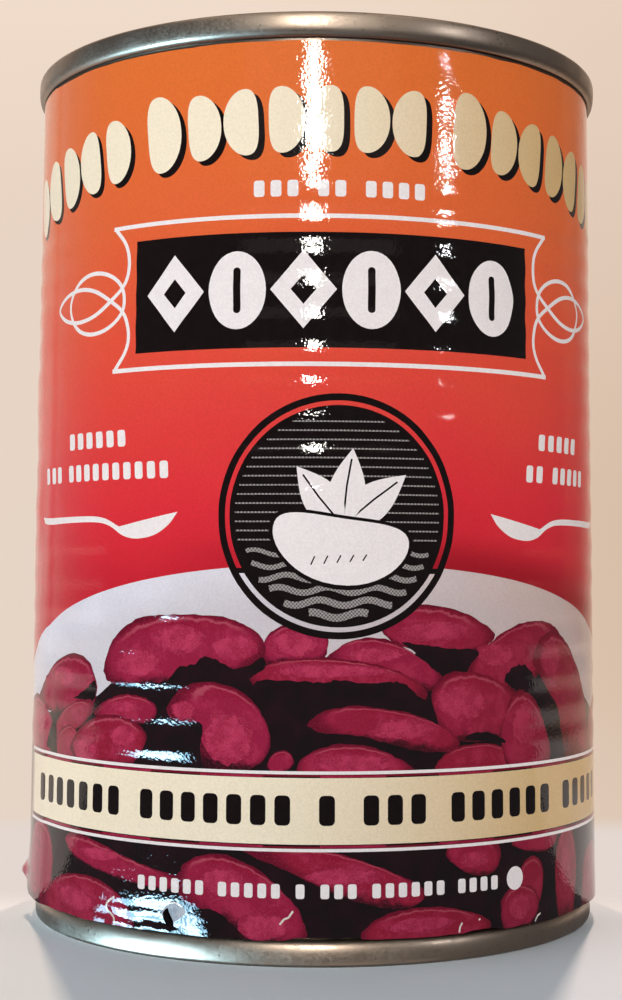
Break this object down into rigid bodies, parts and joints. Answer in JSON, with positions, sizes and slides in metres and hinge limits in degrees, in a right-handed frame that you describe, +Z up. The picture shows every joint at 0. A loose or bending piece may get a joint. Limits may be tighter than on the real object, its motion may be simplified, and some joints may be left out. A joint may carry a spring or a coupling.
{
  "type": "canned beans",
  "caption": "Shut round steel food tin of cooked beans with rolled rims, ribbed wall and a wrapped paper label.",
  "frame": {"origin": "on the tin's axis, at the level it stands on", "axes": "+Z up along the tin's axis; -Y is the front of the label, +X its right as seen from the front"},
  "size_m": [0.076, 0.076, 0.11],
  "materials": {
    "body_steel": "dull tinplate",
    "end_steel": "dull tinplate",
    "label_paper": "gloss varnished printed paper"
  },
  "bodies": {
    "root": {"can_body": "body_steel", "top_end": "end_steel", "bottom_end": "end_steel", "paper_label": "label_paper"}
  },
  "joints": []
}
